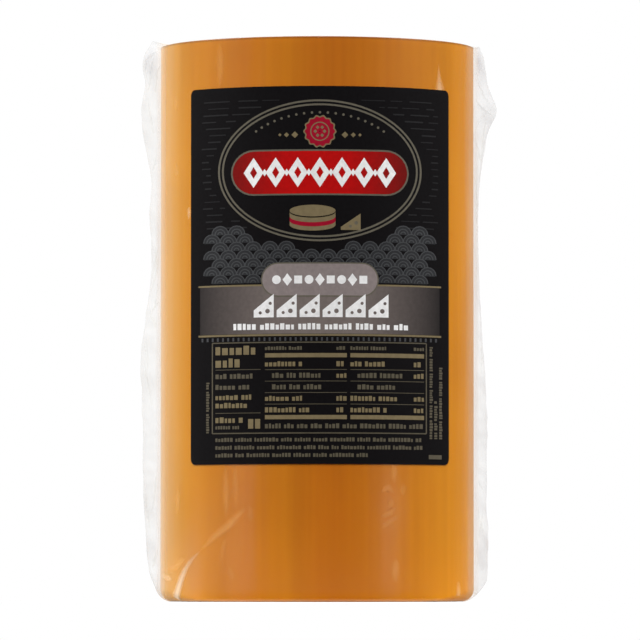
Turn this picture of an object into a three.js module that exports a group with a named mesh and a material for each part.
// A half-moon loaf of smoked gouda, sealed in clear shrink film, with a label round its front.
//
// The loaf stands on one cut end. Its section is a half circle: the round side faces -Y and the
// flat side is the back. The film lies tight on it and closes in a thin fin down each back edge.
// The fins are widest near the ends, where the corners of the bag stand off, and the bag's two
// end seals are folded over and lie flat on the back.
// Millimetres, +Z up, with the origin on the floor under the middle of the pack.

import * as THREE from 'three';

// ---- Driving dimensions ----

const packHeight = 271;
const frontRadius = 77; // of the half circle, film included, so the pack is 154 wide
const rimRadius = 1.5; // of the edges round the two ends
const footCorner = 6; // of the lower edge at the pack's sides, where it is rounder
const footCornerStart = THREE.MathUtils.degToRad(40); // round the front, where that begins
const footCornerBack = 0.6; // of the way from the middle of the back to its edge, where it ends

const labelWidth = 145; // measured round the curve
const labelHeight = 181;
const labelBottom = 66; // above the floor
const labelTurn = THREE.MathUtils.degToRad(1.7); // off the middle, towards +X
const labelCorner = 2.6;
const labelThickness = 0.5;
const labelGap = 0.3; // between the film and the back of the label

const finStart = THREE.MathUtils.degToRad(74); // where the film leaves the round side
const finBackInset = 9; // from the back edge to where the film leaves the flat back
const finTipThickness = 1.2;
const finTipInset = 4.5; // of the tip from the plane of the back
const finRearBend = 1; // from the back edge to where the rear of a fin bends
const finWave = 1.6; // how far the tip waves front to back
const finWaveLength = 62;
const finTopShare = 0.7; // of its reach that a fin still has at the very top
const finTopRise = 6; // over which it gets there
const finFootShare = 0.1; // of its reach that a fin still has just above the floor

const flapThickness = 0.8;
const flapLength = 27; // from the end of the pack
const flapHalfWidth = 61;
const flapTaper = 11; // narrower by this at its free edge, on each side
const flapEdge = 1.2; // width of the step at its sides

// Each fin's side, where its wave starts, the height by which it has its full reach, and how far it
// reaches past the round side: a base, and swells of a height, place and spread.
const leftFin = {
  side: -1,
  phase: -1,
  footRise: 17,
  base: 3.6,
  swells: [
    { height: 3.6, at: 263.5, spread: 7.5 },
    { height: 5.5, at: 237, spread: 22 },
    { height: 1.5, at: 187, spread: 10 },
    { height: 3.9, at: 121, spread: 28 },
    { height: 4.5, at: 65, spread: 55 },
  ],
};
const rightFin = {
  side: 1,
  phase: 1,
  footRise: 11,
  base: 1.5,
  swells: [
    { height: 5.7, at: 242.5, spread: 30 },
    { height: 3.6, at: 240, spread: 8 },
    { height: 4.6, at: 83, spread: 57 },
    { height: 3.7, at: 17, spread: 30 },
  ],
};

// ---- Numbers of facets ----

const arcSteps = 34;
const finSteps = 4;
const backSteps = 14;
const bodySteps = 44;
const leastStep = 1; // between two loops of points up the body
const footSteps = 6;
const rimSteps = 3;
const labelSteps = 40;
const labelCornerSteps = 4;

const backY = frontRadius / 2; // the half circle is centred on the flat back
const { clamp, lerp, smoothstep } = THREE.MathUtils;

// ---- Closed solids ----

/** One closed solid through loops of as many points each, with a fan over the first and the last. */
function loft(loops) {
  const around = loops[0].length;
  const points = loops.flat();
  const faces = [];
  for (let ring = 0; ring < loops.length - 1; ring++) {
    for (let i = 0; i < around; i++) {
      const next = (i + 1) % around;
      const [a, b] = [ring * around + i, ring * around + next];
      faces.push(a, b, b + around, a, b + around, a + around);
    }
  }
  const addFan = (loop, start, turn) => {
    const middle = loop.reduce((sum, p) => sum.add(p), new THREE.Vector3()).divideScalar(around);
    const hub = points.push(middle) - 1;
    for (let i = 0; i < around; i++) {
      const [a, b] = [start + i, start + ((i + 1) % around)];
      faces.push(hub, ...(turn ? [b, a] : [a, b]));
    }
  };
  addFan(loops[0], 0, true);
  addFan(loops[loops.length - 1], (loops.length - 1) * around, false);
  return new THREE.BufferGeometry().setFromPoints(points).setIndex(faces);
}

// ---- The sealed loaf ----

/** How far a fin reaches past the round side at height z. */
function finReach(fin, z) {
  const swell = fin.swells.reduce(
    (sum, s) => sum + s.height * Math.exp(-(((z - s.at) / s.spread) ** 2)),
    fin.base,
  );
  const foot = lerp(finFootShare, 1, smoothstep(z, 0, fin.footRise));
  const top = lerp(finTopShare, 1, smoothstep(packHeight - z, 0, finTopRise));
  return swell * foot * top;
}

/** How far a rounded edge is drawn in at a distance from the end that it runs round. */
function edgeInset(radius, fromEnd) {
  const left = Math.max(radius - fromEnd, 0);
  return radius - Math.sqrt(radius ** 2 - left ** 2);
}

/** How far the section at z is drawn in, where the lower edge has a share of its side corner. */
function sectionInset(z, cornerShare) {
  const footRadius = lerp(rimRadius, footCorner, cornerShare);
  return Math.max(edgeInset(footRadius, z), edgeInset(rimRadius, packHeight - z));
}

/** How far a folded end seal stands off the back at x, z. */
function flapRelief(x, z) {
  const fromEnd = Math.min(z, packHeight - z);
  const halfWidth = flapHalfWidth - flapTaper * clamp(fromEnd / flapLength, 0, 1);
  const across = 1 - smoothstep(Math.abs(x), halfWidth - flapEdge, halfWidth);
  const along = 1 - smoothstep(fromEnd, flapLength - flapEdge, flapLength);
  return flapThickness * across * along;
}

/** The front and rear of a fin at height z, from the round side to the tip and on to the back. */
function finSides(fin, z) {
  const inset = sectionInset(z, 1);
  const radius = frontRadius - inset;
  const wave = finWave * Math.sin((2 * Math.PI * z) / finWaveLength + fin.phase);
  const tipX = radius + finReach(fin, z);
  const tipY = backY - inset - finTipInset + wave;
  const leave = new THREE.Vector2(radius * Math.sin(finStart), backY - radius * Math.cos(finStart));
  const back = new THREE.Vector2(radius - finBackInset, backY - inset);
  const front = new THREE.QuadraticBezierCurve(
    leave,
    new THREE.Vector2(radius, backY - finBackInset - inset),
    new THREE.Vector2(tipX, tipY - finTipThickness / 2),
  );
  const rear = new THREE.QuadraticBezierCurve(
    new THREE.Vector2(tipX, tipY + finTipThickness / 2),
    new THREE.Vector2(radius - finRearBend, backY - inset),
    back,
  );
  const place = (p) => new THREE.Vector3(fin.side * p.x, p.y, z);
  return { front: front.getPoints(finSteps).map(place), rear: rear.getPoints(finSteps).map(place) };
}

/** The pack's outline at height z, turning from +X by way of the back. */
function packSection(z) {
  const right = finSides(rightFin, z);
  const left = finSides(leftFin, z);
  const edge = frontRadius - sectionInset(z, 1) - finBackInset;
  const back = [];
  for (let i = 1; i < backSteps; i++) {
    // The points crowd towards the sides, where the folded seals end.
    const share = Math.sin((Math.PI / 2) * ((2 * i) / backSteps - 1));
    const x = -edge * share;
    const inset = sectionInset(z, smoothstep(Math.abs(share), footCornerBack, 1));
    back.push(new THREE.Vector3(x, backY - inset + flapRelief(x, z), z));
  }
  const arc = [];
  for (let i = 1; i < arcSteps; i++) {
    const angle = finStart * ((2 * i) / arcSteps - 1);
    const cornerShare = smoothstep(Math.abs(angle), footCornerStart, finStart);
    const radius = frontRadius - sectionInset(z, cornerShare);
    arc.push(new THREE.Vector3(radius * Math.sin(angle), backY - radius * Math.cos(angle), z));
  }
  const leftSide = [...left.rear.reverse(), ...left.front.reverse()];
  return [...right.rear, ...back, ...leftSide, ...arc, ...right.front];
}

/** Heights of the loops: close together round the ends, with extra ones at the folded seals. */
function loopHeights() {
  const fromEnds = [flapLength - flapEdge, flapLength];
  const seams = [...fromEnds, ...fromEnds.map((length) => packHeight - length)];
  const heights = [...seams];
  for (let i = 0; i <= bodySteps; i++) {
    const z = lerp(footCorner, packHeight - rimRadius, i / bodySteps);
    if (seams.every((seam) => Math.abs(seam - z) > leastStep)) heights.push(z);
  }
  const edgeHeight = (radius, share) => radius * (1 - Math.cos((Math.PI / 2) * share));
  for (let step = 0; step < footSteps; step++) {
    heights.push(edgeHeight(footCorner, step / footSteps));
  }
  for (let step = 0; step < rimSteps; step++) {
    heights.push(packHeight - edgeHeight(rimRadius, step / rimSteps));
  }
  return heights.sort((a, b) => a - b);
}

function sealedLoaf() {
  const loops = loopHeights().map(packSection);
  const material = new THREE.MeshStandardMaterial({ color: 0xbe7420, roughness: 0.3, metalness: 0 });
  const mesh = new THREE.Mesh(loft(loops), material);
  mesh.name = 'gouda_in_film';
  return mesh;
}

// ---- The label ----

function label() {
  const inner = frontRadius + labelGap;
  const outer = inner + labelThickness;
  const halfTurn = labelWidth / 2 / inner;
  const cornerTurn = labelCorner / inner;
  // How far each column of points is from the middle, and how much a round corner cuts off it.
  const columns = [];
  for (let i = 0; i <= labelCornerSteps; i++) {
    const angle = (Math.PI / 2) * (i / labelCornerSteps);
    columns.push({
      turn: -halfTurn + cornerTurn * (1 - Math.cos(angle)),
      cut: labelCorner * (1 - Math.sin(angle)),
    });
  }
  for (let i = 1; i < labelSteps; i++) {
    columns.push({ turn: (halfTurn - cornerTurn) * ((2 * i) / labelSteps - 1), cut: 0 });
  }
  for (let i = labelCornerSteps; i >= 0; i--) {
    columns.push({ turn: -columns[i].turn, cut: columns[i].cut });
  }
  const loops = columns.map(({ turn, cut }) => {
    const angle = labelTurn + turn;
    const [x, y] = [Math.sin(angle), -Math.cos(angle)];
    const at = (radius, z) => new THREE.Vector3(radius * x, backY + radius * y, z);
    const [low, high] = [labelBottom + cut, labelBottom + labelHeight - cut];
    return [at(inner, low), at(inner, high), at(outer, high), at(outer, low)];
  });
  const material = new THREE.MeshStandardMaterial({ color: 0x1a1819, roughness: 0.4, metalness: 0 });
  const mesh = new THREE.Mesh(loft(loops), material);
  mesh.name = 'label';
  return mesh;
}

const pack = new THREE.Group();
pack.add(sealedLoaf(), label());

export default pack;
